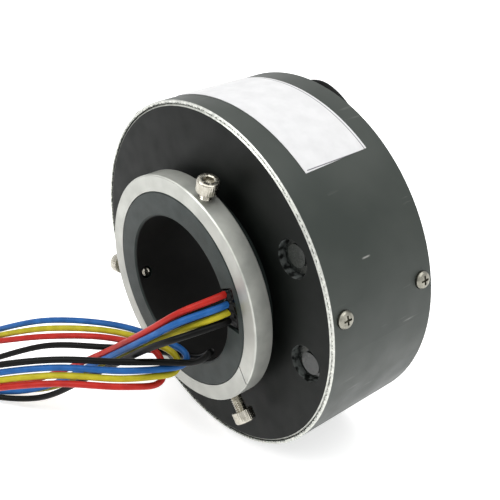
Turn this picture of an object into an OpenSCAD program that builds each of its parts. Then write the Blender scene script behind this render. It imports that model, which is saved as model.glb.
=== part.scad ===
// Through-bore slip ring. A hollow rotor is clamped on a shaft by the
// collar at the front. The housing round it is held still and carries
// the brushes. The axis runs along Y, the collar faces -Y, +Z is up.
// The origin is on the axis, in the plane of the housing's front face.

/* [Rotor] */
// Diameter of the through bore
bore_d = 50; // [40:1:51]
// Wall of the rotor between its bore and the bearing seats
rotor_wall = 5; // [4.5:0.5:5.5]
// Height of the front flange over the bearing seats
flange_step = 3; // [2:0.25:3.5]
// Length of rotor that stands out in front of the housing
rotor_nose = 11.6; // [10.6:0.2:16]
// Length of rotor that stands out behind the housing
rotor_tail = 1.5; // [0.5:0.25:4]
// Chamfer at both ends of the bore
bore_chamfer = 0.6; // [0.2:0.1:1]

/* [Clamping collar] */
// Wall of the collar
collar_wall = 5.3; // [3.5:0.1:8]
// Width of the collar along the axis
collar_w = 7; // [6:0.5:8.5]
// Distance of the collar's face behind the rotor's face
collar_setback = 0.2; // [0:0.1:0.6]
// Play between the rotor flange and the collar
collar_play = 0.2; // [0.05:0.05:0.4]
// Chamfer on the collar's outer edges
collar_chamfer = 0.4; // [0.2:0.1:1]
// Width of the parting line in the collar's front face
slit_w = 0.3; // [0.2:0.1:0.8]
// Depth of the parting line
slit_depth = 1.5; // [0.5:0.25:3]

/* [Clamp screws] */
// Thread diameter
clamp_d = 4; // [3:0.5:5]
// Diameter of the socket heads
clamp_head_d = 7; // [5.5:0.25:8.5]
// Height of the socket heads
clamp_head_h = 4; // [3:0.25:5]
// Distance of the tightened heads from the collar
clamp_stand = 2.55; // [0.5:0.05:5]
// Distance by which the lower screw is backed out further
clamp_slack = 2.55; // [0:0.05:4]
// Width across the flats of the hexagon socket
clamp_key = 3; // [2:0.5:4]

/* [Housing] */
// Outer diameter of the housing tube
housing_d = 119; // [119:1:135]
// Wall of the tube between the covers
tube_wall = 4; // [2:0.25:4.25]
// Wall of the tube round each cover
tube_lip = 1; // [0.8:0.1:1.3]
// Depth by which the covers sit in the tube
cover_depth = 9.2; // [8:0.2:12]
// Rim of the covers inside the tube
cover_rim = 3.45; // [2.75:0.05:3.75]
// Plate of the covers between rim and bearing boss
cover_web = 3.5; // [2.5:0.25:6]
// Lip of the covers over the bearings
cover_lip = 2; // [1.25:0.25:3]
// Wall of the bearing boss
boss_wall = 3; // [2:0.25:3.5]
// Chamfer round the covers' faces
cover_chamfer = 0.75; // [0.25:0.05:1.5]
// Running gap between the rotor flange and the cover lips
lip_gap = 0.4; // [0.3:0.05:1]

/* [Ports and rear holes] */
// Diameter of the two ports in the front cover
port_d = 12; // [8:0.5:12.5]
// Diameter of the bracket holes in the rear cover
bracket_hole_d = 4.3; // [3.2:0.1:5.5]
// Diameter of the lead outlet in the rear cover
outlet_d = 6; // [4:0.5:8]
// Thickness of the outlet bush outside the cover
outlet_flange = 1.2; // [0.6:0.1:2]

/* [Cover screws] */
// Thread diameter
cover_screw_d = 3; // [2:0.5:3.5]
// Diameter of the domed heads
cover_head_d = 5.5; // [4.5:0.1:6.5]
// Height of the domed heads
cover_head_h = 1.8; // [1.2:0.1:2.6]
// Depth of the flat that each head sits on
spot_depth = 0.25; // [0.15:0.05:0.5]

/* [Bearings] */
// Radial height of the bearings
bearing_h = 9; // [8:0.25:9.5]
// Width of the bearings
bearing_w = 10; // [8.5:0.5:14]
// Diameter of the balls
ball_d = 5.6; // [4.4:0.2:6]
// Number of balls in each bearing
ball_count = 20; // [12:1:24]
// Open height between the two races
race_gap = 2.6; // [2:0.1:3]
// Rim of the cage beside its ball pockets
cage_rim = 0.5; // [0.4:0.1:0.9]

/* [Ring stack] */
// Width of each contact ring
ring_w = 2.4; // [2:0.1:4]
// Radial height of the contact rings
ring_h = 4.5; // [3:0.25:5.5]
// Width of each insulating ring
spacer_w = 1.7; // [1.3:0.1:3]
// Height of the insulating rings over the contact rings
spacer_rise = 2; // [0.5:0.25:2.25]
// Wall of the insulating sleeve
liner_wall = 1.5; // [0.8:0.1:2]

/* [Brush gear] */
// Width of the brush blocks across the radius
block_w = 13; // [11:0.5:14]
// Play between the brush blocks and the metal round them
block_play = 0.5; // [0.3:0.1:1]
// Width of the brushes along the axis
brush_w = 1.8; // [1.2:0.1:2]
// Width of the brushes round the ring
brush_t = 4.8; // [3:0.2:7]
// Share of each brush pocket that its brush fills
brush_share = 0.76; // [0.6:0.02:0.8]
// Wall of the block behind the springs
block_back = 4; // [2.5:0.25:5]
// Strip thickness of the brush springs
spring_t = 0.3; // [0.2:0.05:0.4]

/* [Lead outlet] */
// Radial depth of the filled notch in the rotor's front
notch_depth = 6; // [5.5:0.1:6.4]
// Length of the notch along the axis
notch_len = 10; // [6:0.5:12]
// Angle that the notch spans
notch_span = 28; // [24:1:34]
// Depth of the filling below the rotor's face
fill_setback = 1.1; // [0.2:0.1:2]
// Diameter of the lead wires
lead_d = 2.2; // [1.6:0.1:2.4]

/* [Label] */
// Width of the label along the axis
label_w = 25.2; // [12:0.2:30]
// Distance of the label from the housing's front face
label_y = 8.35; // [7:0.05:9.5]
// Angle that the label spans
label_span = 60; // [40:5:70]
// Tilt with which the label is stuck on
label_tilt = 1.97; // [0:0.01:2.5]

/* [Hidden] */
circuits = 4;
fit = 0.03;
running = 0.08;
skin = 0.15;

clamp_angles = [73, 194, 309];
clamp_backed = [0, 0, 1];
port_angles = [32.3, -8.3];
screw_angle = 12;
screw_count = 3;
bracket_angle = 52;
bracket_count = 3;
outlet_angle = 112;
notch_angle = 13.5;
slit_angle = -25;
slit_slant = -31.6;
label_start = 53;
ball_play = 0.15;
cage_play = 0.35;

bore_r = bore_d / 2;
seat_r = bore_r + rotor_wall;
flange_r = seat_r + flange_step;
collar_in = flange_r + collar_play;
collar_r = collar_in + collar_wall;
collar_y = -rotor_nose + collar_setback;
clamp_y = collar_y + collar_w / 2;
tip_gap = 0.05;

bearing_r = seat_r + bearing_h;
ball_pitch_r = seat_r + bearing_h / 2;
inner_race_r = ball_pitch_r - race_gap / 2;
outer_race_r = ball_pitch_r + race_gap / 2;

stack_y = cover_lip + bearing_w;
stack_len = circuits * ring_w + (circuits + 1) * spacer_w;
housing_len = 2 * stack_y + stack_len;
rear_race_y = stack_y + stack_len;
rotor_end = housing_len + rotor_tail;

liner_r = seat_r + liner_wall;
ring_r = liner_r + ring_h;
spacer_r = ring_r + spacer_rise;
function ring_y(i) = stack_y + spacer_w + i * (ring_w + spacer_w);

housing_r = housing_d / 2;
tube_in = housing_r - tube_wall;
cover_seat_r = housing_r - tube_lip;
cover_r = cover_seat_r - fit;
rim_in = cover_r - cover_rim;
lip_r = flange_r + lip_gap;
pocket_r = bearing_r + fit;
boss_r = pocket_r + boss_wall;
port_r = (boss_r + rim_in) / 2;

block_in = boss_r + block_play;
block_out = sqrt(pow(min(rim_in, tube_in) - block_play, 2) - pow(block_w / 2, 2));
brush_in = ring_r + running;
pocket_out = block_out - block_back;
brush_out = brush_in + brush_share * (pocket_out - brush_in);

clip_w = 1.2;
clip_depth = 1.2;
clip_r = lip_r - 0.5;

notch_r = bore_r + notch_depth;
fill_y = -rotor_nose + fill_setback;
notch_y = -rotor_nose + notch_len;
duct_in = bore_r + 2;
duct_out = seat_r - 0.5;
duct_span = 16;

$fn = 96;
small = 40;

// The leads lie with their lowest stretch on a surface under the housing.
floor_z = -58.3;
// Unseen loops of the rotor leads on that surface, one lane for each lead.
loop_x = -108;
loop_y = -66;
loop_r = 8;
lane = 3.4;
function loop(k) = [
  [-64, -50 - lane * k, -58], [loop_x, loop_y - loop_r - lane * k, floor_z],
  [loop_x - loop_r - lane * k, loop_y, floor_z],
  [loop_x, loop_y + loop_r + lane * k, floor_z]
];

// Centre lines in millimetres: out of the filling, past the lower left of
// the face to the loop, back to a fold before the bore, and out again.
red_route = concat([
  [24.4, -10.5, 10.6], [24.4, -14.5, 10.6], [17.2, -23.3, 5.3], [7.5, -27.5, -4],
  [-21.5, -32.5, -29], [-46, -43, -48]
], loop(0), [
  [-90, -58, -51], [-45, -38, -31], [-23.5, -25.5, -25.5], [2.5, -22, -19],
  [5.2, -22.6, -21.2], [8, -24.6, -26], [5, -37, -23.3], [-13.5, -53.5, -25],
  [-44, -76, -38], [-68, -94, -58.3]
]);
yellow_route = concat([
  [26.1, -10.5, 5.1], [26.1, -14, 5.1], [20.8, -21.6, 1.6], [10, -26.5, -7],
  [-19, -31.5, -32], [-43.5, -42.5, -51.5]
], loop(1), [
  [-90, -55, -50.5], [-46.5, -37, -28.8], [-24, -23.5, -24], [2.5, -19, -18.3],
  [7.5, -18, -19.2], [10.6, -20.5, -22.6], [9, -26, -22], [4, -36.5, -21],
  [-14.5, -52.5, -22.8], [-45, -75.5, -35.8], [-71.5, -94, -57]
]);
blue_route = concat([
  [25.5, -10.5, 7.6], [25.5, -14.5, 7.6], [19, -24.5, 3.5], [9, -28.5, -5.5],
  [-20, -33.5, -30.5], [-44, -45, -50.5]
], loop(2), [
  [-90, -52, -49.5], [-48, -36, -26.5], [-24.5, -21.5, -22.5], [2, -16.5, -18],
  [8.5, -15.2, -18.5], [12, -17.5, -19.8], [9.5, -24.5, -19.6], [3, -36, -18.7],
  [-15.5, -52, -20.5], [-46, -75, -33.5], [-75, -94, -55.5]
]);
black_route = concat([
  [26.5, -10.5, 2.3], [26.5, -14, 2.3], [21, -25.5, -0.5], [11, -29.7, -7.8],
  [-18, -34.9, -32.9], [-42.3, -46.3, -53.2]
], loop(3), [
  [-96, -52, -58.3], [-84, -59, -56.5], [-43.5, -39.5, -33.5], [-23, -28, -28],
  [-6.5, -19.5, -23.8], [8.5, -13.8, -20.7], [15.5, -13.3, -16.8],
  [20.5, -13.5, -10.8], [20.3, -16.3, -13.2], [14.5, -18.5, -17.4],
  [9.5, -24.5, -17], [2, -35, -16.3], [-16.5, -51.5, -18.2], [-47, -74, -31.2],
  [-78.5, -94, -54]
]);
// Out of the rear outlet, over the top and down behind the housing.
stator_route = [
  [-18.2, 43.3, 45], [-18.2, 46.5, 45], [-15, 49, 48.5], [-9, 49, 53.1],
  [0.5, 48.7, 56.2], [10, 48.7, 53.1], [18, 48.7, 46], [28, 49.5, 30],
  [32, 50, 5], [30, 51, -20], [22, 54, -42], [6, 58, -58.3], [-18, 60, -58.3]
];

// Turns a profile of [radius, y] points about the Y axis.
module turned() {
  rotate([-90, 0, 0])
    rotate_extrude() children();
}

// Turned ring between two radii and two stations on the axis.
module ring(y0, y1, r_in, r_out) {
  turned() translate([r_in, y0]) square([r_out - r_in, y1 - y0]);
}

// Turns what is drawn on the +X side to an angle round the axis.
module at_angle(a) {
  rotate([0, -a, 0]) children();
}

// Rod along the radius at a station on the axis.
module radial_rod(y, r0, r1, d) {
  translate([r0, y, 0]) rotate([0, 90, 0]) cylinder(h = r1 - r0, d = d, $fn = small);
}

// Rod along Y at a radius.
module axial_rod(r, y0, y1, d) {
  translate([r, y0, 0]) rotate([-90, 0, 0]) cylinder(h = y1 - y0, d = d, $fn = small);
}

// Wedge about the +X direction that spans an angle.
module wedge(span, y0, y1, r) {
  reach = r / cos(span / 2);
  translate([0, y1, 0]) rotate([90, 0, 0])
    linear_extrude(height = y1 - y0)
      polygon([[0, 0], [reach * cos(span / 2), -reach * sin(span / 2)],
        [reach * cos(span / 2), reach * sin(span / 2)]]);
}

// ---------------------------------------------------------------- rotor

module rotor_blank() {
  turned() polygon([
    [bore_r, -rotor_nose + bore_chamfer], [bore_r + bore_chamfer, -rotor_nose],
    [flange_r - 0.3, -rotor_nose], [flange_r, -rotor_nose + 0.3],
    [flange_r, cover_lip], [seat_r, cover_lip],
    [seat_r, housing_len - cover_lip],
    [seat_r - clip_depth, housing_len - cover_lip],
    [seat_r - clip_depth, housing_len - cover_lip + clip_w + 2 * fit],
    [seat_r, housing_len - cover_lip + clip_w + 2 * fit],
    [seat_r, rotor_end - 0.5], [seat_r - 0.5, rotor_end],
    [bore_r + bore_chamfer, rotor_end], [bore_r, rotor_end - bore_chamfer]
  ]);
}

// Notch in the rotor's front, open to the bore, less a gap on each side.
module notch_space(gap) {
  at_angle(notch_angle) intersection() {
    ring(-rotor_nose - 1, notch_y - gap, bore_r - 1, notch_r - gap);
    wedge(notch_span - gap * 3, -rotor_nose - 2, notch_y + 1, notch_r + 1);
  }
}

// Duct from the notch to the rings, with its outer radius under the rings.
module duct_space(gap, out_r) {
  at_angle(notch_angle) intersection() {
    turned() polygon([
      [duct_in + gap, notch_y - 1], [duct_out - gap, notch_y - 1],
      [duct_out - gap, cover_lip + 1 + gap], [out_r, cover_lip + 1 + gap],
      [out_r, rear_race_y - gap], [duct_in + gap, rear_race_y - gap]
    ]);
    wedge(duct_span - gap * 3, notch_y - 2, rear_race_y + 1, out_r + 1);
  }
}

module rotor_sleeve() {
  color("darkgray") difference() {
    rotor_blank();
    notch_space(0);
    duct_space(0, seat_r + 1);
    for (a = clamp_angles)
      at_angle(a) radial_rod(clamp_y, bore_r - 2, flange_r + 1, clamp_d + 0.5);
  }
}

module clamp_collar() {
  c = collar_chamfer;
  y1 = collar_y + collar_w;
  color("silver") difference() {
    turned() polygon([
      [collar_in, collar_y], [collar_r - c, collar_y], [collar_r, collar_y + c],
      [collar_r, y1 - c], [collar_r - c, y1], [collar_in, y1]
    ]);
    for (a = clamp_angles)
      at_angle(a) radial_rod(clamp_y, collar_in - 2, collar_r + 2, clamp_d + 2 * fit);
    at_angle(slit_angle) translate([collar_in + collar_wall / 2, collar_y, 0])
      rotate([0, -slit_slant, 0])
        cube([collar_wall * 3, 2 * slit_depth, slit_w], center = true);
  }
}

module clamp_screw() {
  len = collar_r + clamp_stand - bore_r - tip_gap;
  translate([bore_r + tip_gap, clamp_y, 0]) rotate([0, 90, 0]) {
    rotate_extrude($fn = small) polygon([
      [0, 0], [clamp_d / 2 - 0.4, 0], [clamp_d / 2, 0.4], [clamp_d / 2, len],
      [0, len]
    ]);
    difference() {
      rotate_extrude($fn = small) polygon([
        [0, len], [clamp_head_d / 2, len],
        [clamp_head_d / 2, len + clamp_head_h - 0.3],
        [clamp_head_d / 2 - 0.3, len + clamp_head_h],
        [0, len + clamp_head_h]
      ]);
      translate([0, 0, len + clamp_head_h / 2])
        cylinder(h = clamp_head_h, d = clamp_key / cos(30), $fn = 6);
    }
  }
}

module clamp_screws() {
  color("lightsteelblue")
    for (i = [0:2])
      at_angle(clamp_angles[i])
        translate([clamp_backed[i] * clamp_slack, 0, 0]) clamp_screw();
}

module insulating_sleeve() {
  color("tan") ring(stack_y, rear_race_y, seat_r + fit, liner_r);
}

module contact_ring(i) {
  y = ring_y(i);
  groove = 0.3;
  color("goldenrod") turned() polygon([
    [liner_r + fit, y], [ring_r - groove, y], [ring_r, y + groove],
    [ring_r, y + ring_w - groove], [ring_r - groove, y + ring_w],
    [liner_r + fit, y + ring_w]
  ]);
}

module contact_ring_1() { contact_ring(0); }
module contact_ring_2() { contact_ring(1); }
module contact_ring_3() { contact_ring(2); }
module contact_ring_4() { contact_ring(3); }

// The two end rings are relieved where the outer races turn beside them.
module spacer_ring(i) {
  y = ring_y(i) - spacer_w;
  relief = 0.5;
  front = i == 0 ? relief : 0;
  rear = i == circuits ? relief : 0;
  hub = inner_race_r - 0.2;
  color("burlywood") turned() polygon([
    [liner_r + fit, y], [hub, y], [hub, y + front], [spacer_r, y + front],
    [spacer_r, y + spacer_w - rear], [hub, y + spacer_w - rear],
    [hub, y + spacer_w], [liner_r + fit, y + spacer_w]
  ]);
}

module spacer_ring_1() { spacer_ring(0); }
module spacer_ring_2() { spacer_ring(1); }
module spacer_ring_3() { spacer_ring(2); }
module spacer_ring_4() { spacer_ring(3); }
module spacer_ring_5() { spacer_ring(4); }

module retaining_ring() {
  y = housing_len - cover_lip + fit;
  color("dimgray") difference() {
    ring(y, y + clip_w, seat_r - clip_depth + fit, clip_r);
    at_angle(-90) wedge(16, y - 1, y + clip_w + 1, clip_r + 1);
    for (a = [-90 - 11.5, -90 + 11.5])
      at_angle(a) axial_rod((seat_r + clip_r) / 2, y - 1, y + clip_w + 1, 1.4);
  }
}

module lead_filling() {
  color("black") intersection() {
    union() {
      notch_space(fit);
      duct_space(fit, seat_r - fit);
    }
    ring(fill_y, rear_race_y + 1, bore_r, flange_r);
  }
}

// ------------------------------------------------------------- bearings

module inner_race(y) {
  color("gainsboro") turned() difference() {
    translate([seat_r + fit, y]) square([inner_race_r - seat_r - fit, bearing_w]);
    translate([ball_pitch_r, y + bearing_w / 2]) circle(r = ball_d / 2 + ball_play, $fn = small);
  }
}

module outer_race(y) {
  color("gainsboro") turned() difference() {
    translate([outer_race_r, y]) square([bearing_r - outer_race_r, bearing_w]);
    translate([ball_pitch_r, y + bearing_w / 2]) circle(r = ball_d / 2 + ball_play, $fn = small);
  }
}

module cage(y) {
  mid = y + bearing_w / 2;
  pocket = ball_d + 2 * ball_play;
  half = pocket / 2 + cage_rim;
  color("sienna") difference() {
    ring(mid - half, mid + half, inner_race_r + cage_play, outer_race_r - cage_play);
    for (i = [0:ball_count - 1])
      at_angle((i + 0.5) * 360 / ball_count)
        translate([inner_race_r - 1, mid - pocket / 2, -pocket / 2])
          cube([race_gap + 3, pocket, pocket]);
  }
}

module balls(y) {
  color("whitesmoke")
    for (i = [0:ball_count - 1])
      at_angle((i + 0.5) * 360 / ball_count)
        translate([ball_pitch_r, y + bearing_w / 2, 0]) sphere(d = ball_d, $fn = small);
}

module front_inner_race() { inner_race(cover_lip); }
module rear_inner_race() { inner_race(rear_race_y); }
module front_outer_race() { outer_race(cover_lip); }
module rear_outer_race() { outer_race(rear_race_y); }
module front_cage() { cage(cover_lip); }
module rear_cage() { cage(rear_race_y); }
module front_balls() { balls(cover_lip); }
module rear_balls() { balls(rear_race_y); }

// -------------------------------------------------------------- housing

module cover_screw_angles() {
  for (i = [0:screw_count - 1])
    at_angle(screw_angle + i * 360 / screw_count) children();
}

module housing_tube() {
  color("slategray") difference() {
    turned() polygon([
      [cover_seat_r, 0], [housing_r - 0.3, 0], [housing_r, 0.3],
      [housing_r, housing_len - 0.3], [housing_r - 0.3, housing_len],
      [cover_seat_r, housing_len], [cover_seat_r, housing_len - cover_depth],
      [tube_in, housing_len - cover_depth], [tube_in, cover_depth],
      [cover_seat_r, cover_depth]
    ]);
    for (y = [cover_depth / 2, housing_len - cover_depth / 2])
      cover_screw_angles() {
        radial_rod(y, cover_seat_r - 2, housing_r + 1, cover_screw_d + 0.3);
        radial_rod(y, housing_r - spot_depth, housing_r + 2, cover_head_d + 0.4);
      }
  }
}

// A cover as seen from the front end, with its face at y = 0.
module cover_blank() {
  difference() {
    turned() polygon([
      [lip_r, 0], [cover_r - cover_chamfer, 0], [cover_r, cover_chamfer],
      [cover_r, cover_depth], [rim_in, cover_depth], [rim_in, cover_web],
      [boss_r, cover_web], [boss_r, stack_y], [pocket_r, stack_y],
      [pocket_r, cover_lip], [lip_r, cover_lip]
    ]);
    cover_screw_angles()
      radial_rod(cover_depth / 2, rim_in - 2, cover_r + 1, cover_screw_d + 2 * fit);
  }
}

module front_cover() {
  color("dimgray") difference() {
    cover_blank();
    for (a = port_angles)
      at_angle(a) axial_rod(port_r, -1, cover_web + 1, port_d);
  }
}

module rear_cover() {
  color("dimgray") difference() {
    translate([0, housing_len, 0]) mirror([0, 1, 0]) cover_blank();
    at_angle(outlet_angle)
      axial_rod(port_r, housing_len - cover_web - 1, housing_len + 1, outlet_d);
    for (i = [0:bracket_count - 1])
      at_angle(bracket_angle + i * 360 / bracket_count)
        axial_rod(port_r, housing_len - cover_web - 1, housing_len + 1, bracket_hole_d);
  }
}

module cover_screw(y) {
  seat = housing_r - spot_depth;
  tip = rim_in + 0.2;
  translate([0, y, 0]) difference() {
    translate([tip, 0, 0]) rotate([0, 90, 0]) rotate_extrude($fn = small) polygon([
      [0, 0], [cover_screw_d / 2, 0], [cover_screw_d / 2, seat - tip],
      [cover_head_d / 2, seat - tip],
      [cover_head_d / 2, seat - tip + cover_head_h * 0.45],
      [cover_head_d / 2 * 0.86, seat - tip + cover_head_h * 0.8],
      [cover_head_d / 2 * 0.5, seat - tip + cover_head_h * 0.96],
      [0, seat - tip + cover_head_h]
    ]);
    for (turn = [0, 90])
      translate([seat + cover_head_h, 0, 0]) rotate([turn, 0, 0])
        cube([cover_head_h, 0.7, cover_head_d * 0.55], center = true);
  }
}

module front_cover_screws() {
  color("silver") cover_screw_angles() cover_screw(cover_depth / 2);
}

module rear_cover_screws() {
  color("silver") cover_screw_angles() cover_screw(housing_len - cover_depth / 2);
}

module outlet_bush() {
  color("black") at_angle(outlet_angle) union() {
    axial_rod(port_r, housing_len - cover_web, housing_len + 0.1, outlet_d - 2 * fit);
    axial_rod(port_r, housing_len, housing_len + outlet_flange, outlet_d + 2);
  }
}

module label() {
  mid = label_start + label_span / 2;
  reach = housing_r * sin(label_span / 2);
  color("white") intersection() {
    ring(0.5, housing_len - 0.5, housing_r + fit, housing_r + fit + skin);
    at_angle(mid) rotate([label_tilt, 0, 0])
      translate([housing_r / 2, label_y, -reach])
        cube([housing_r, label_w, 2 * reach]);
  }
}

// ----------------------------------------------------------- brush gear

// Stepped end of the block that shows in its port.
module block_end() {
  lean = 1.2;
  axial_rod(port_r, cover_web * 0.6, cover_web + 1, port_d - 1.4);
  translate([lean * cos(25), 0, lean * sin(25)])
    axial_rod(port_r, cover_web * 0.25, cover_web + 1, port_d * 0.6);
}

module brush_block(a) {
  color("darkslategray") at_angle(a) difference() {
    union() {
      translate([block_in, cover_web + fit, -block_w / 2])
        cube([block_out - block_in, housing_len - 2 * (cover_web + fit), block_w]);
      block_end();
    }
    for (i = [0:circuits - 1])
      translate([block_in - 1, ring_y(i) + ring_w / 2 - brush_w / 2 - running, -brush_t / 2 - running])
        cube([pocket_out - block_in + 1, brush_w + 2 * running, brush_t + 2 * running]);
  }
}

module brushes(a) {
  color("gray") difference() {
    at_angle(a)
      for (i = [0:circuits - 1])
        translate([ring_r - 2, ring_y(i) + ring_w / 2 - brush_w / 2, -brush_t / 2])
          cube([brush_out - ring_r + 2, brush_w, brush_t]);
    ring(stack_y - 1, rear_race_y + 1, liner_r, brush_in);
  }
}

// Bent strip that presses each brush out of its pocket.
module brush_springs(a) {
  x0 = brush_out + 0.05;
  x1 = pocket_out - 0.05;
  swing = brush_t / 2 - 0.3;
  bend = spring_t * sqrt(1 + pow((x1 - x0 - spring_t) / swing, 2));
  edge = [
    [x0, -swing], [x1 - bend, 0], [x0, swing],
    [x0 + bend, swing], [x1, 0], [x0 + bend, -swing]
  ];
  color("gold") at_angle(a)
    for (i = [0:circuits - 1])
      translate([0, ring_y(i) + ring_w / 2 + brush_w / 3, 0]) rotate([90, 0, 0])
        linear_extrude(height = brush_w * 2 / 3) polygon(edge);
}

module brush_block_1() { brush_block(port_angles[0]); }
module brush_block_2() { brush_block(port_angles[1]); }
module brushes_1() { brushes(port_angles[0]); }
module brushes_2() { brushes(port_angles[1]); }
module brush_springs_1() { brush_springs(port_angles[0]); }
module brush_springs_2() { brush_springs(port_angles[1]); }

// ---------------------------------------------------------------- leads

function unit(v) = v / norm(v);
function heading(p, i) =
  i == 0 ? unit(p[1] - p[0]) :
  i == len(p) - 1 ? unit(p[i] - p[i - 1]) :
  unit(unit(p[i + 1] - p[i]) + unit(p[i] - p[i - 1]));
function square_to(t, n) = unit(n - (n * t) * t);
// Carries one side vector along the route without twisting it.
function sides(p, n, i = 0) =
  i == len(p) ? [] :
  let (m = square_to(heading(p, i), n)) concat([m], sides(p, m, i + 1));

// Round tube along a route, with one ring of corners at each point.
module tube(p, d) {
  n = 8;
  s = sides(p, [0.3, 0.2, 1]);
  rings = [
    for (i = [0:len(p) - 1])
      let (t = heading(p, i), u = s[i], v = cross(t, u))
      for (k = [0:n - 1]) p[i] + d / 2 * (cos(k * 360 / n) * u + sin(k * 360 / n) * v)
  ];
  last = (len(p) - 1) * n;
  walls = [
    for (i = [0:len(p) - 2]) for (k = [0:n - 1])
      let (a = i * n + k, b = i * n + (k + 1) % n)
      for (f = [[a, a + n, b + n], [a, b + n, b]]) f
  ];
  polyhedron(
    points = rings,
    faces = concat(walls, [[for (k = [0:n - 1]) k]], [[for (k = [n - 1:-1:0]) last + k]]),
    convexity = 10
  );
}

module lead_red() { color("red") tube(red_route, lead_d); }
module lead_yellow() { color("gold") tube(yellow_route, lead_d); }
module lead_blue() { color("royalblue") tube(blue_route, lead_d); }
module lead_black() { color("black") tube(black_route, lead_d); }
module stator_lead() { color("black") tube(stator_route, lead_d); }

// ---------------------------------------------------------------- parts

rotor_sleeve();
clamp_collar();
clamp_screws();
insulating_sleeve();
contact_ring_1();
contact_ring_2();
contact_ring_3();
contact_ring_4();
spacer_ring_1();
spacer_ring_2();
spacer_ring_3();
spacer_ring_4();
spacer_ring_5();
front_inner_race();
rear_inner_race();
retaining_ring();
lead_filling();
housing_tube();
front_cover();
rear_cover();
front_outer_race();
rear_outer_race();
front_cage();
front_balls();
rear_cage();
rear_balls();
brush_block_1();
brush_block_2();
brushes_1();
brushes_2();
brush_springs_1();
brush_springs_2();
front_cover_screws();
rear_cover_screws();
label();
outlet_bush();
lead_red();
lead_yellow();
lead_blue();
lead_black();
stator_lead();
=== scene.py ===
import math

import bmesh
import bpy
from mathutils import Matrix, Vector


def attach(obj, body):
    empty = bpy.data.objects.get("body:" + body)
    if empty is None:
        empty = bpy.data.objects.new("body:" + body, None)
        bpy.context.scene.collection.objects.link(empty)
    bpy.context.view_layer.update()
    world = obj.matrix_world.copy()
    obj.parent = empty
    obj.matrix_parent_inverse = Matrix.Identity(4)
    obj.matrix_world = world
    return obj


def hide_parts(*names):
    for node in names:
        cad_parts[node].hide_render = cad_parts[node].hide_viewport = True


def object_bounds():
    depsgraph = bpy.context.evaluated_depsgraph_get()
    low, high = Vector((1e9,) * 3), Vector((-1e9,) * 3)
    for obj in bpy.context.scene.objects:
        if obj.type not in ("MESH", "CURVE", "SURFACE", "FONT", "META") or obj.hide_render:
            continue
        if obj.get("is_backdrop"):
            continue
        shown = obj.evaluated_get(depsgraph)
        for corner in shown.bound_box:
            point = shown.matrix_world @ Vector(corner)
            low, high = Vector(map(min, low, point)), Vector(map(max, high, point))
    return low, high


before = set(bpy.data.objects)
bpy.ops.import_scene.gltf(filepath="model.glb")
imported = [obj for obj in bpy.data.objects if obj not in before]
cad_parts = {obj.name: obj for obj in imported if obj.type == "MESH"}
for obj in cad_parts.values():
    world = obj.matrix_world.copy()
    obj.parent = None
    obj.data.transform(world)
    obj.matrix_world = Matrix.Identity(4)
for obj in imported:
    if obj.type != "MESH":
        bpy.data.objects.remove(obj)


def note_size(stage, sizes={}):
    lo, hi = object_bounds()
    sizes[stage] = {"low": list(lo), "high": list(hi)}


note_size("after_load")
scene = bpy.context.scene

# Sizes in millimetres and angles in degrees, as part.scad has them or works them out.
BORE_R = 25.0
COLLAR_R = 38.5
COVER_R = 58.47
COVER_CHAMFER = 0.75
HOUSING_R = 59.5
PORT_R = 6.0
PORT_PITCH_R = 48.5  # rounded: 48.525 there
PORT_ANGLES = (32.3, -8.3)
CLAMP_ANGLES = (73, 194, 309)
CLAMP_Y = -7.9
CLAMP_R = 2.0
CLAMP_HEAD_R = 3.5
CLAMP_HEAD_H = 4.0
CLAMP_KEY = 3.0
CLAMP_STAND = 2.55
CLAMP_SLACK = 2.55
TIP_GAP = 0.05
NOTCH_ANGLE = 13.5
FILLING_Y = -10.5
LEAD_R = 1.1
LABEL_Y = 8.35
LABEL_W = 25.2
LABEL_START = 53.0
LABEL_SPAN = 60.0
LABEL_THICK = 0.15
LABEL_RISE = 0.0344  # tangent of the label's tilt

# ------------------------------------------------------------------ camera

CAMERA_PLACE = (0.19191, -0.14136, 0.14842)
CAMERA_DOWN = 30.058
CAMERA_ROUND = 50.196
CAMERA_LENS = 61.07

cam = bpy.data.objects.new("camera", bpy.data.cameras.new("camera"))
scene.collection.objects.link(cam)
scene.camera = cam
cam.data.sensor_width = 36
cam.data.lens = CAMERA_LENS
cam.data.clip_start = 0.01
cam.location = CAMERA_PLACE
cam.rotation_euler = (math.radians(90 - CAMERA_DOWN), 0, math.radians(CAMERA_ROUND))

# ----------------------------------------------------------- mesh helpers


def mesh_piece(name, verts, faces, body, sharp):
    """A closed mesh from points in millimetres, smooth but for edges over sharp degrees."""
    mesh = bpy.data.meshes.new(name)
    mesh.from_pydata([tuple(Vector(v) / 1000) for v in verts], [], faces)
    bm = bmesh.new()
    bm.from_mesh(mesh)
    bmesh.ops.recalc_face_normals(bm, faces=bm.faces)
    bm.to_mesh(mesh)
    bm.free()
    for face in mesh.polygons:
        face.use_smooth = True
    mesh.set_sharp_from_angle(angle=math.radians(sharp))
    obj = bpy.data.objects.new(name, mesh)
    scene.collection.objects.link(obj)
    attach(obj, body)
    return obj


def stack(rings):
    """Points and faces of a skin over rings of equal count, with a flat cap at each end."""
    n = len(rings[0])
    verts = [v for ring in rings for v in ring]
    faces = []
    for i in range(len(rings) - 1):
        for k in range(n):
            a, b = i * n + k, i * n + (k + 1) % n
            faces.append((a, b, b + n, a + n))
    faces.append(tuple(range(n - 1, -1, -1)))
    faces.append(tuple(range((len(rings) - 1) * n, len(rings) * n)))
    return verts, faces


# ------------------------------------------------------------------- cords

FLOOR = -58.3  # height of a lead's centreline where it lies on the surface


def loop(lane):
    """The stretch of a rotor lead that lies on the surface, in its lane of four."""
    x, y, r = -108, -66, 8 + 3.4 * lane
    return [(-64, -50 - 3.4 * lane, -58),
            (x, y - r, FLOOR), (x - r, y, FLOOR), (x, y + r, FLOOR)]


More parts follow.
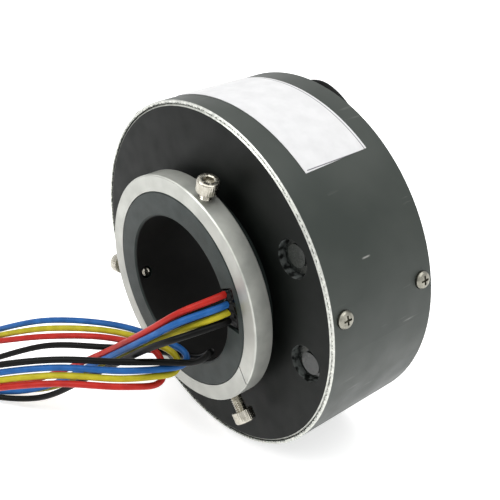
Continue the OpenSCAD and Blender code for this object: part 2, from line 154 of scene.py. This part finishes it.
ROUTES = {
    "red": [
        (24.4, -10.5, 10.6), (24.4, -14.5, 10.6), (17.2, -23.3, 5.3), (7.5, -27.5, -4),
        (-21.5, -32.5, -29), (-46, -43, -48), *loop(0),
        (-90, -58, -51), (-45, -38, -31), (-23.5, -25.5, -25.5), (2.5, -22, -19),
        (5.2, -22.6, -21.2), (8, -24.6, -26), (5, -37, -23.3), (-13.5, -53.5, -25),
        (-44, -76, -38), (-68, -94, -58.3)],
    "yellow": [
        (26.1, -10.5, 5.1), (26.1, -14, 5.1), (20.8, -21.6, 1.6), (10, -26.5, -7),
        (-19, -31.5, -32), (-43.5, -42.5, -51.5), *loop(1),
        (-90, -55, -50.5), (-46.5, -37, -28.8), (-24, -23.5, -24), (2.5, -19, -18.3),
        (7.5, -18, -19.2), (10.6, -20.5, -22.6), (9, -26, -22), (4, -36.5, -21),
        (-14.5, -52.5, -22.8), (-45, -75.5, -35.8), (-71.5, -94, -57)],
    "blue": [
        (25.5, -10.5, 7.6), (25.5, -14.5, 7.6), (19, -24.5, 3.5), (9, -28.5, -5.5),
        (-20, -33.5, -30.5), (-44, -45, -50.5), *loop(2),
        (-90, -52, -49.5), (-48, -36, -26.5), (-24.5, -21.5, -22.5), (2, -16.5, -18),
        (8.5, -15.2, -18.5), (12, -17.5, -19.8), (9.5, -24.5, -19.6), (3, -36, -18.7),
        (-15.5, -52, -20.5), (-46, -75, -33.5), (-75, -94, -55.5)],
    "black": [
        (26.5, -10.5, 2.3), (26.5, -14, 2.3), (21, -25.5, -0.5), (11, -29.7, -7.8),
        (-18, -34.9, -32.9), (-42.3, -46.3, -53.2), *loop(3),
        (-96, -52, -58.3), (-84, -59, -56.5), (-43.5, -39.5, -33.5), (-23, -28, -28),
        (-6.5, -19.5, -23.8), (8.5, -13.8, -20.7), (15.5, -13.3, -16.8),
        (20.5, -13.5, -10.8), (20.3, -16.3, -13.2), (14.5, -18.5, -17.4),
        (9.5, -24.5, -17), (2, -35, -16.3), (-16.5, -51.5, -18.2), (-47, -74, -31.2),
        (-78.5, -94, -54)],
    "stator": [
        (-18.2, 43.3, 45), (-18.2, 46.5, 45), (-15, 49, 48.5), (-9, 49, 53.1),
        (0.5, 48.7, 56.2), (10, 48.7, 53.1), (18, 48.7, 46), (28, 49.5, 30),
        (32, 50, 5), (30, 51, -20), (22, 54, -42), (6, 58, -58.3), (-18, 60, -58.3)],
}
CORD_STEP = 1.25  # spacing of the rings along a cord
SINK = 0.05       # how far a cord may press below FLOOR


def smooth(points, steps=40):
    """A centripetal Catmull-Rom line through the points, kept above the surface."""
    p = [Vector(v) for v in points]
    p = [2 * p[0] - p[1], *p, 2 * p[-1] - p[-2]]
    line = []
    for p0, p1, p2, p3 in zip(p, p[1:], p[2:], p[3:]):
        t1 = (p1 - p0).length ** 0.5
        t2 = t1 + (p2 - p1).length ** 0.5
        t3 = t2 + (p3 - p2).length ** 0.5
        for i in range(steps):
            t = t1 + (t2 - t1) * i / steps
            a1 = p0.lerp(p1, t / t1)
            a2 = p1.lerp(p2, (t - t1) / (t2 - t1))
            a3 = p2.lerp(p3, (t - t2) / (t3 - t2))
            b1 = a1.lerp(a2, t / t2)
            b2 = a2.lerp(a3, (t - t1) / (t3 - t1))
            line.append(b1.lerp(b2, (t - t1) / (t2 - t1)))
    line.append(p[-2])
    for v in line:
        v.z = max(v.z, FLOOR - SINK)
    return line


def evenly(line, step):
    """The line again, in equal steps of about that length."""
    run = [0.0]
    for a, b in zip(line, line[1:]):
        run.append(run[-1] + (b - a).length)
    count = round(run[-1] / step)
    spaced, i = [], 0
    for k in range(count + 1):
        s = run[-1] * k / count
        while i < len(line) - 2 and run[i + 1] < s:
            i += 1
        spaced.append(line[i].lerp(line[i + 1], (s - run[i]) / (run[i + 1] - run[i])))
    return spaced


def ease(line, passes=8):
    """The line with its tightest bends opened out, and its two ends kept."""
    for _ in range(passes):
        inner = [(a + 2 * b + c) / 4 for a, b, c in zip(line, line[1:], line[2:])]
        line = [line[0], *inner, line[-1]]
    return line


def tube(line, radius, sides=16):
    """A round skin along the line, whose rings don't twist."""
    turns = [2 * math.pi * k / sides for k in range(sides)]
    way = (line[1] - line[0]).normalized()
    side = way.orthogonal().normalized()
    rings = []
    for before, here, after in zip([line[0], *line], line, [*line[1:], line[-1]]):
        ahead = (after - before).normalized()
        side = way.rotation_difference(ahead) @ side
        side = (side - ahead * side.dot(ahead)).normalized()
        way = ahead
        rings.append([here + radius * (math.cos(t) * side + math.sin(t) * way.cross(side))
                      for t in turns])
    return stack(rings)


def cord(name, route, node, body):
    line = ease(evenly(smooth(route), CORD_STEP))
    obj = mesh_piece(name, *tube(line, LEAD_R), body, sharp=40)
    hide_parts(node)
    return obj


cords = {
    "red": cord("cord_red", ROUTES["red"], "lead_red", "rotor"),
    "yellow": cord("cord_yellow", ROUTES["yellow"], "lead_yellow", "rotor"),
    "blue": cord("cord_blue", ROUTES["blue"], "lead_blue", "rotor"),
    "black": cord("cord_black", ROUTES["black"], "lead_black", "rotor"),
    "stator": cord("cord_stator", ROUTES["stator"], "stator_lead", "stator"),
}

# -------------------------------------------------------------- node trees


class Tree:
    """A node tree, whose sockets take a value or another node's output."""

    def __init__(self, tree):
        self.tree = tree

    def node(self, kind, inputs=None, **props):
        n = self.tree.nodes.new("ShaderNode" + kind)
        for key, value in props.items():
            setattr(n, key, value)
        for key, value in (inputs or {}).items():
            self.put(n.inputs[key], value)
        return n

    def put(self, socket, value):
        if isinstance(value, bpy.types.NodeSocket):
            self.tree.links.new(value, socket)
        elif socket.type == "RGBA" and len(value) == 3:
            socket.default_value = (*value, 1)
        else:
            socket.default_value = value

    def math(self, operation, *terms):
        return self.node("Math", dict(enumerate(terms)), operation=operation).outputs[0]

    def times(self, a, b):
        return self.math("MULTIPLY", a, b)

    def ramp(self, value, low, high, start=0.0, end=1.0):
        """start at low, end at high, held beyond them."""
        return self.node("MapRange", {0: value, 1: low, 2: high, 3: start, 4: end}).outputs[0]


class Look(Tree):
    """One procedural material, with its lengths in millimetres."""

    def __init__(self, name):
        self.mat = bpy.data.materials.new(name)
        self.mat.use_nodes = True
        super().__init__(self.mat.node_tree)
        self.shader = self.tree.nodes["Principled BSDF"]
        place = self.node("TexCoord").outputs["Object"]
        self.mm = self.node("VectorMath", {0: place, 3: 1000.0}, operation="SCALE").outputs[0]
        self.x, self.y, self.z = self.node("SeparateXYZ", {0: self.mm}).outputs
        self.r = self.hypot(self.x, self.z)
        self.angle = self.math("DEGREES", self.math("ARCTAN2", self.z, self.x))

    def set(self, name, value):
        self.put(self.shader.inputs[name], value)

    def hypot(self, a, b):
        return self.math("SQRT", self.math("ADD", self.times(a, a), self.times(b, b)))

    def far(self, x, z):
        """Distance from the line along Y through x and z."""
        return self.hypot(self.math("SUBTRACT", self.x, x), self.math("SUBTRACT", self.z, z))

    def noise(self, size, detail=3, stretch=None, seed=0):
        """Noise from about 0.3 to 0.7 with lumps of that size, longer where stretch is small."""
        at = self.mm
        if stretch:
            at = self.node("VectorMath", {0: at, 1: stretch}, operation="MULTIPLY").outputs[0]
        return self.node("TexNoise", {"Vector": at, "W": float(seed), "Scale": 1 / size,
                                      "Detail": detail}, noise_dimensions="4D").outputs[0]

    def cloud(self, size, detail=3, seed=0):
        """Noise spread out to 0 to 1."""
        return self.ramp(self.noise(size, detail, seed=seed), 0.35, 0.65)

    def uneven(self, size, low, high, seed=0):
        """A number that wanders from low to high."""
        return self.ramp(self.noise(size, seed=seed), 0.3, 0.7, low, high)

    def window(self, value, low, high, soft):
        """1 between low and high, fading to 0 over soft on either side."""
        return self.times(self.ramp(value, low - soft, low + soft),
                          self.ramp(value, high - soft, high + soft, 1.0, 0.0))

    def without(self, mask, spots):
        """The mask, less where spots is 1."""
        return self.times(mask, self.math("SUBTRACT", 1.0, spots))

    def mix(self, share, a, b):
        """Colour a where share is 0 and b where it is 1."""
        return self.node("Mix", {0: share, 6: a, 7: b}, data_type="RGBA").outputs[2]

    def blend(self, share, a, b):
        """Number a where share is 0 and b where it is 1."""
        return self.node("Mix", {0: share, 2: a, 3: b}, data_type="FLOAT").outputs[0]

    def bump(self, height, depth, strength=1.0, after=None):
        """Surface relief: height 0 to 1 is depth millimetres."""
        inputs = {"Height": height, "Distance": depth / 1000, "Strength": strength}
        if after:
            inputs["Normal"] = after
        return self.node("Bump", inputs).outputs[0]

    def turned(self, pitch, depth):
        """Fine tool marks round the axis."""
        wander = self.times(self.noise(6), 0.3)
        turns = self.times(self.math("ADD", self.r, wander), 2 * math.pi / pitch)
        return self.bump(self.math("SINE", turns), depth)


def paint(look, *pieces):
    """Gives the look to pieces and, by their names, to CAD nodes."""
    for piece in pieces:
        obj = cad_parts[piece] if isinstance(piece, str) else piece
        obj.data.materials.clear()
        obj.data.materials.append(look.mat)


# --------------------------------------------------------- turned surfaces


def bare_edge(look, mask, tone, rough, metal):
    """Machined aluminium where mask is 1, over the tone, roughness and metal given."""
    bright = look.mix(look.cloud(1.2, seed=5), (0.44, 0.45, 0.42), (0.66, 0.67, 0.62))
    look.set("Base Color", look.mix(mask, tone, bright))
    look.set("Roughness", look.blend(mask, rough, 0.42))
    look.set("Metallic", look.blend(mask, metal, 0.85))


def anodised_housing():
    """Dark greenish grey with clouds, scuffs and one short mark, bare on its front edge."""
    look = Look("anodised_housing")
    tone = look.mix(look.cloud(26), (0.018, 0.025, 0.020), (0.033, 0.040, 0.034))
    scuffs = look.times(look.ramp(look.noise(2.2, 5, stretch=(1, 0.12, 1), seed=2), 0.62, 0.72),
                        look.ramp(look.noise(15, 2, seed=4), 0.5, 0.62))
    mark = look.times(look.window(look.angle, 25.7, 26.1, 0.15),
                      look.window(look.y, 15.6, 18.2, 0.5))
    worn = look.math("MAXIMUM", look.times(scuffs, 0.35), look.times(mark, 0.9))
    tone = look.mix(worn, tone, (0.30, 0.30, 0.28))
    specks = look.times(look.ramp(look.noise(0.75, 2, seed=6), 0.48, 0.55),
                        look.window(look.r, HOUSING_R - 1.3, HOUSING_R - 0.65, 0.1))
    edge = look.without(look.ramp(look.y, 0.24, 0.34, 1.0, 0.0), specks)
    bare_edge(look, edge, tone, look.uneven(9, 0.40, 0.52, seed=1), 0.25)
    look.set("Normal", look.bump(look.noise(0.22, 2), 0.012, 0.6))
    return look


def black_cover():
    """Matt black with tool marks, bare on its chamfer, with a painted highlight on the front
    cover's port walls.
    """
    look = Look("black_cover")
    tone = look.mix(look.cloud(14, 4), (0.0028, 0.0036, 0.0030), (0.0050, 0.0062, 0.0054))
    front = look.ramp(look.y, 10, 12, 1.0, 0.0)
    # Painted highlight: patches of the port walls are drawn paler where light catches them.
    for angle in PORT_ANGLES:
        turn = math.radians(angle)
        away = look.far(PORT_PITCH_R * math.cos(turn), PORT_PITCH_R * math.sin(turn))
        port_wall_highlight = look.times(look.window(away, PORT_R - 0.3, PORT_R + 0.04, 0.04),
                          look.ramp(look.noise(1.6, seed=angle), 0.42, 0.6))
        tone = look.mix(look.times(port_wall_highlight, front), tone, (0.10, 0.11, 0.105))
    chamfer_r = COVER_R - COVER_CHAMFER
    specks = look.times(look.ramp(look.noise(0.75, 2, seed=6), 0.46, 0.53),
                        look.ramp(look.r, chamfer_r + 0.28, chamfer_r + 0.43))
    edge = look.without(look.ramp(look.r, chamfer_r - 0.1, chamfer_r), specks)
    bare_edge(look, edge, tone, look.uneven(7, 0.42, 0.55, seed=1), 0.1)
    look.set("Normal", look.bump(look.noise(0.2, 2), 0.01, 0.6, look.turned(0.35, 0.0015)))
    look.set("Specular IOR Level", 0.12)
    return look


def rotor_satin():
    """Satin grey with tool marks, with painted shade that turns it near black inside the bore.
    """
    look = Look("rotor_satin")
    # Painted shade: the bore is the same satin grey, drawn near black where shadow falls in it.
    bore_shade_share = look.ramp(look.r, BORE_R + 0.02, BORE_R + 0.2, 1.0, 0.0)
    face = look.mix(look.cloud(7), (0.014, 0.020, 0.018), (0.024, 0.032, 0.030))
    painted_bore_shade = look.mix(look.noise(5, seed=2), (0.006, 0.006, 0.006), (0.014, 0.014, 0.013))
    look.set("Base Color", look.mix(bore_shade_share, face, painted_bore_shade))
    look.set("Roughness", look.blend(bore_shade_share, look.uneven(4, 0.36, 0.48, seed=1), 0.5))
    look.set("Metallic", look.blend(bore_shade_share, 0.15, 0.0))
    look.set("Specular IOR Level", look.blend(bore_shade_share, 0.22, 0.16))
    look.set("Normal", look.turned(0.28, 0.003))
    return look


def collar_bright():
    """Turned aluminium, whose tool marks draw the light out round the face; its side is painted
    lighter than its face.
    """
    look = Look("collar_bright")
    rim = look.ramp(look.r, COLLAR_R - 0.3, COLLAR_R - 0.15)
    drift = look.cloud(7, 4)
    # Painted light: the same aluminium gets a darker tone on the front face and a lighter one on
    # the outer side.
    face = look.mix(drift, (0.34, 0.345, 0.32), (0.42, 0.425, 0.395))
    side = look.mix(drift, (0.40, 0.41, 0.38), (0.54, 0.55, 0.505))
    look.set("Base Color", look.mix(rim, face, side))
    look.set("Roughness", look.blend(rim, look.uneven(5, 0.30, 0.42, seed=3), 0.46))
    look.set("Metallic", look.blend(rim, 1.0, 0.8))
    look.set("Anisotropic", 0.5)
    look.set("Tangent", look.node("Tangent", direction_type="RADIAL", axis="Y").outputs[0])
    look.set("Normal", look.bump(look.noise(0.3, 2), 0.004, 0.5, look.turned(0.22, 0.003)))
    return look


paint(anodised_housing(), "housing_tube")
paint(black_cover(), "front_cover", "rear_cover")
paint(rotor_satin(), "rotor_sleeve")
paint(collar_bright(), "clamp_collar")

# --------------------------------------------- screws, bearings and contacts


def drifting(name, low, high, size, rough, metallic, relief):
    """Two tones and a roughness that drift, over relief of (grain, detail, depth, strength)."""
    look = Look(name)
    look.set("Base Color", look.mix(look.cloud(size, 4), low, high))
    look.set("Roughness", look.uneven(size * 0.4, *rough, seed=3))
    look.set("Metallic", metallic)
    grain, detail, depth, strength = relief
    look.set("Normal", look.bump(look.noise(grain, detail), depth, strength))
    return look


def metal(name, low, high, size, rough, grain=0.15, depth=0.004, metallic=1.0):
    return drifting(name, low, high, size, rough, metallic, (grain, 2, depth, 0.6))


def plastic(name, low, high, size, rough, grain=0.3, depth=0.01):
    return drifting(name, low, high, size, rough, 0.0, (grain, 3, depth, 0.6))


nickel = metal("nickel_plate", (0.36, 0.34, 0.285), (0.48, 0.46, 0.40), 1.6, (0.18, 0.30),
               grain=0.12, depth=0.002)
dull_nickel = metal("screw_nickel", (0.19, 0.185, 0.155), (0.30, 0.29, 0.245), 1.6,
                    (0.28, 0.40), grain=0.12, depth=0.003)
steel = metal("bearing_steel", (0.52, 0.52, 0.52), (0.64, 0.64, 0.63), 3, (0.16, 0.28))
brass = metal("contact_brass", (0.62, 0.43, 0.17), (0.76, 0.57, 0.27), 2.5, (0.18, 0.34))
brass.set("Normal", brass.turned(0.15, 0.002))
spring = metal("spring_strip", (0.22, 0.21, 0.2), (0.36, 0.34, 0.31), 1, (0.25, 0.4))
graphite = metal("silver_graphite", (0.13, 0.13, 0.13), (0.22, 0.22, 0.21), 0.5, (0.4, 0.6),
                 grain=0.1, depth=0.01, metallic=0.6)
cage = plastic("cage_moulding", (0.26, 0.15, 0.065), (0.40, 0.25, 0.12), 2, (0.34, 0.48))
insulator = plastic("insulator", (0.36, 0.26, 0.13), (0.50, 0.38, 0.20), 3, (0.35, 0.5))
block = plastic("block_moulding", (0.003, 0.004, 0.0035), (0.012, 0.015, 0.013), 2.2,
                (0.16, 0.30), grain=0.9, depth=0.04)
rubber = plastic("bush_rubber", (0.012, 0.012, 0.012), (0.022, 0.022, 0.022), 1.5,
                 (0.45, 0.6))

paint(dull_nickel, "front_cover_screws", "rear_cover_screws")
paint(steel, "front_inner_race", "rear_inner_race", "front_outer_race", "rear_outer_race",
      "front_balls", "rear_balls", "retaining_ring")
paint(brass, *[f"contact_ring_{i}" for i in range(1, 5)])
paint(spring, "brush_springs_1", "brush_springs_2")
paint(graphite, "brushes_1", "brushes_2")
paint(cage, "front_cage", "rear_cage")
paint(insulator, "insulating_sleeve", *[f"spacer_ring_{i}" for i in range(1, 6)])
paint(block, "brush_block_1", "brush_block_2")
paint(rubber, "outlet_bush")

# ------------------------------------------------ leads, filling and label


def insulation(name, low, high, shine=0.14):
    look = drifting(name, low, high, 4, (0.28, 0.42), 0.0, (0.5, 2, 0.012, 0.5))
    look.set("Specular IOR Level", shine)
    return look


paint(insulation("lead_black_pvc", (0.0016, 0.0018, 0.0016), (0.0034, 0.0036, 0.0034), 0.09),
      cords["black"], cords["stator"])
paint(insulation("lead_red_pvc", (0.34, 0.014, 0.010), (0.44, 0.022, 0.015)), cords["red"])
paint(insulation("lead_yellow_pvc", (0.35, 0.30, 0.010), (0.45, 0.385, 0.02)),
      cords["yellow"])
paint(insulation("lead_blue_pvc", (0.010, 0.075, 0.25), (0.018, 0.11, 0.34)), cords["blue"])

epoxy = drifting("potting_epoxy", (0.0010, 0.0011, 0.0010), (0.0025, 0.0026, 0.0025), 1.5,
                 (0.10, 0.24), 0.0, (0.9, 2, 0.10, 0.6))
epoxy.set("Specular IOR Level", 0.12)
paint(epoxy, "lead_filling")


def label_film():
    """White film with a thin dark line inside its end and its rear edge."""
    look = Look("label_film")
    middle = LABEL_START + LABEL_SPAN / 2
    per_degree = LABEL_RISE * (HOUSING_R + LABEL_THICK) * math.pi / 180
    along = look.math("ADD", look.y,
                      look.times(look.math("SUBTRACT", look.angle, middle), per_degree))
    end, front, rear = LABEL_START + 0.9, LABEL_Y + 0.85, LABEL_Y + LABEL_W - 1.0
    end_line = look.times(look.window(look.angle, end, end + 0.3, 0.06),
                          look.ramp(along, front, front + 0.1))
    rear_line = look.times(look.window(along, rear, rear + 0.25, 0.06),
                           look.ramp(look.angle, end, end + 0.1))
    white = look.mix(look.cloud(5), (0.62, 0.62, 0.625), (0.68, 0.68, 0.685))
    look.set("Base Color", look.mix(look.math("MAXIMUM", end_line, rear_line), white,
                                    (0.08, 0.08, 0.09)))
    look.set("Roughness", look.uneven(3, 0.34, 0.48))
    look.set("Normal", look.bump(look.noise(0.4, 2), 0.004, 0.5))
    return look


paint(label_film(), "label")

# ----------------------------------------------------------- clamp screws

HEAD_SIDES = 180
THREAD_SIDES = 36
KNURLS = 30
KNURL_DEPTH = 0.08
THREAD_PITCH = 0.7  # an M4 thread's; part.scad draws the shank plain
SHANK = COLLAR_R + CLAMP_STAND - BORE_R - TIP_GAP


def outline(radius, h, sides):
    """A closed outline at height h, whose radius is a number or follows the angle."""
    ring = []
    for k in range(sides):
        a = 2 * math.pi * k / sides
        q = radius(a) if callable(radius) else radius
        ring.append(Vector((q * math.cos(a), q * math.sin(a), h)))
    return ring


def hexagon(flats):
    """Radius of a hexagon of that width across its flats, by angle."""
    def radius(a):
        inner = (a + math.pi / 6) % (math.pi / 3) - math.pi / 6
        return flats / 2 / math.cos(inner)
    return radius


def knurl(a):
    return CLAMP_HEAD_R + KNURL_DEPTH * (abs(math.sin(a * KNURLS / 2)) - 1)


def screw_head():
    """Knurled head with a rounded top edge and a hexagonal socket, on top of the shank."""
    profile = [
        (CLAMP_R, -0.02), (CLAMP_HEAD_R - 0.3, 0), (CLAMP_HEAD_R - 0.08, 0.12),
        (knurl, 0.3), (knurl, 3.35),
        (CLAMP_HEAD_R - 0.14, 3.7), (CLAMP_HEAD_R - 0.34, 3.92),
        (CLAMP_HEAD_R - 0.6, CLAMP_HEAD_H), (1.95, CLAMP_HEAD_H),
        (hexagon(CLAMP_KEY + 0.12), 3.86), (hexagon(CLAMP_KEY), 3.7),
        (hexagon(CLAMP_KEY), 2.75), (0.4, 2.55)]
    return stack([outline(radius, SHANK + h, HEAD_SIDES) for radius, h in profile])


def screw_thread():
    """Shank from a domed tip at height 0, with a thread that starts just above it."""
    tip = [(0.3, 0.0), (0.85, 0.08), (1.35, 0.28), (1.64, 0.56), (1.74, 0.9)]
    rings = [outline(radius, h, THREAD_SIDES) for radius, h in tip]
    h = 1.0
    while h < SHANK - 0.05:
        grown = min(1, (h - 0.9) / 1.2)

        def radius(a):
            ridge = abs(2 * ((h / THREAD_PITCH - a / (2 * math.pi)) % 1) - 1)
            return CLAMP_R - 0.03 - 0.23 * (1 - grown) ** 2 - 0.36 * grown * ridge

        rings.append(outline(radius, h, THREAD_SIDES))
        h += 0.1
    rings.append(outline(CLAMP_R - 0.1, SHANK, THREAD_SIDES))
    return stack(rings)


def clamp_screw(name, angle, slack):
    """M4 socket screw that points at the axis, backed out by slack."""
    verts, faces = screw_head()
    thread_verts, thread_faces = screw_thread()
    faces += [tuple(i + len(verts) for i in face) for face in thread_faces]
    verts += thread_verts
    turn = Matrix.Rotation(-math.radians(angle), 4, "Y")
    turn = turn @ Matrix.Translation((BORE_R + TIP_GAP + slack, CLAMP_Y, 0))
    turn = turn @ Matrix.Rotation(math.radians(90), 4, "Y")
    turn = turn @ Matrix.Rotation(math.radians(angle * 1.7), 4, "Z")  # each socket its own way
    return mesh_piece(name, [turn @ v for v in verts], faces, "rotor", sharp=28)


slacks = (0.0, 0.0, CLAMP_SLACK)
screws = [clamp_screw(f"clamp_screw_{i + 1}", angle, slack)
          for i, (angle, slack) in enumerate(zip(CLAMP_ANGLES, slacks))]
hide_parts("clamp_screws")
paint(nickel, *screws)

# ------------------------------------------------------ top of the filling

PAD_COLS, PAD_ROWS = 64, 22
PAD_SPAN = 27.4
PAD_INNER_R = 25.08
PAD_DEPTH = 5.8
PAD_RISE = 1.35   # the most it stands above the filling
PAD_SINK = 0.08   # how far its underside lies in the filling


def pad_height(x, z):
    """Lumps, drawn up round each lead."""
    h = 0.3 + 0.16 * math.sin(x * 2.3 + z) * math.sin(z * 1.7)
    h += 0.07 * math.sin(5.1 * z + 2.9 * x)
    for lead in ("red", "yellow", "blue", "black"):
        away = math.hypot(x - ROUTES[lead][0][0], z - ROUTES[lead][0][2])
        h += 0.85 * math.exp(-(max(0, away - 1.0) / 0.75) ** 2)
    return max(0.02, h)


def epoxy_pad():
    """The uneven top of the potting in the notch, thinned out towards its edges."""
    verts, faces = [], []
    for i in range(PAD_COLS):
        a = math.radians(NOTCH_ANGLE + PAD_SPAN * (i / (PAD_COLS - 1) - 0.5))
        for j in range(PAD_ROWS):
            r = PAD_INNER_R + PAD_DEPTH * j / (PAD_ROWS - 1)
            x, z = r * math.cos(a), r * math.sin(a)
            inward = min(min(i, PAD_COLS - 1 - i) / 3, min(j, PAD_ROWS - 1 - j) / 2.5)
            h = pad_height(x, z) * min(1, 0.25 + 0.75 * inward)
            verts.append((x, FILLING_Y - min(h, PAD_RISE), z))
    under = len(verts)
    verts += [(x, FILLING_Y + PAD_SINK, z) for x, y, z in verts]
    for i in range(PAD_COLS - 1):
        for j in range(PAD_ROWS - 1):
            a = i * PAD_ROWS + j
            faces.append((a, a + 1, a + PAD_ROWS + 1, a + PAD_ROWS))
            faces.append((under + a, under + a + PAD_ROWS, under + a + PAD_ROWS + 1,
                          under + a + 1))
    edge = [i * PAD_ROWS for i in range(PAD_COLS)]
    edge += [(PAD_COLS - 1) * PAD_ROWS + j for j in range(1, PAD_ROWS)]
    edge += [(i + 1) * PAD_ROWS - 1 for i in range(PAD_COLS - 2, -1, -1)]
    edge += range(PAD_ROWS - 2, 0, -1)
    for a, b in zip(edge, edge[1:] + edge[:1]):
        faces.append((a, b, under + b, under + a))
    return mesh_piece("epoxy_top", verts, faces, "rotor", sharp=60)


pad = epoxy_pad()
paint(epoxy, pad)

# ------------------------------------------------------- floor and lights

FLOOR_SIZE = 6
FLOOR_TOP = -0.0601

bpy.ops.mesh.primitive_plane_add(size=FLOOR_SIZE, location=(0, 0, FLOOR_TOP))
floor = bpy.context.object
floor.name = "floor"
look = Look("floor_white")
pale = look.ramp(look.noise(60, 2), 0.3, 0.7)
look.set("Base Color", look.mix(pale, (0.90, 0.90, 0.90), (0.92, 0.92, 0.92)))
look.set("Roughness", 0.9)
look.set("Specular IOR Level", 0.1)
look.set("Emission Color", (1, 1, 1))
look.set("Emission Strength", 0.62)
floor.data.materials.append(look.mat)
floor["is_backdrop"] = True


def soft_light(name, place, size, power):
    """A rectangular area light that faces the origin."""
    data = bpy.data.lights.new(name, "AREA")
    data.shape = "RECTANGLE"
    data.size, data.size_y = size
    data.energy = power
    obj = bpy.data.objects.new(name, data)
    obj.location = place
    obj.rotation_euler = (-Vector(place)).to_track_quat("-Z", "Y").to_euler()
    scene.collection.objects.link(obj)


soft_light("key", (-0.25, -0.75, 0.75), (0.6, 0.6), 5.5)
soft_light("top", (0.15, 0.1, 1.0), (0.9, 0.9), 6.5)
soft_light("side", (0.9, 0.15, 0.35), (0.6, 0.5), 0.8)

# The room is brightest overhead. It shows as plain white to the camera, in reflections and
# through glass.
world = bpy.data.worlds.new("studio")
scene.world = world
world.use_nodes = True
world.node_tree.nodes.clear()
sky = Tree(world.node_tree)
incoming = sky.node("NewGeometry").outputs["Incoming"]
down = sky.node("SeparateXYZ", {0: incoming}).outputs["Z"]
rise = sky.node("MapRange", {0: down, 1: -0.15, 2: -0.95, 3: 0.16, 4: 0.75},
                interpolation_type="SMOOTHSTEP").outputs[0]
around = sky.node("Background", {0: rise, 1: 1.0}).outputs[0]
white = sky.node("Background", {0: (1, 1, 1), 1: 1.0}).outputs[0]
rays = sky.node("LightPath").outputs
shown = sky.math("MAXIMUM", rays["Is Camera Ray"], rays["Is Glossy Ray"])
shown = sky.math("MAXIMUM", shown, rays["Is Transmission Ray"])
pick = sky.node("MixShader", {0: shown, 1: around, 2: white}).outputs[0]
sky.node("OutputWorld", {0: pick})

scene.view_settings.view_transform = "Standard"

note_size("before_finish")
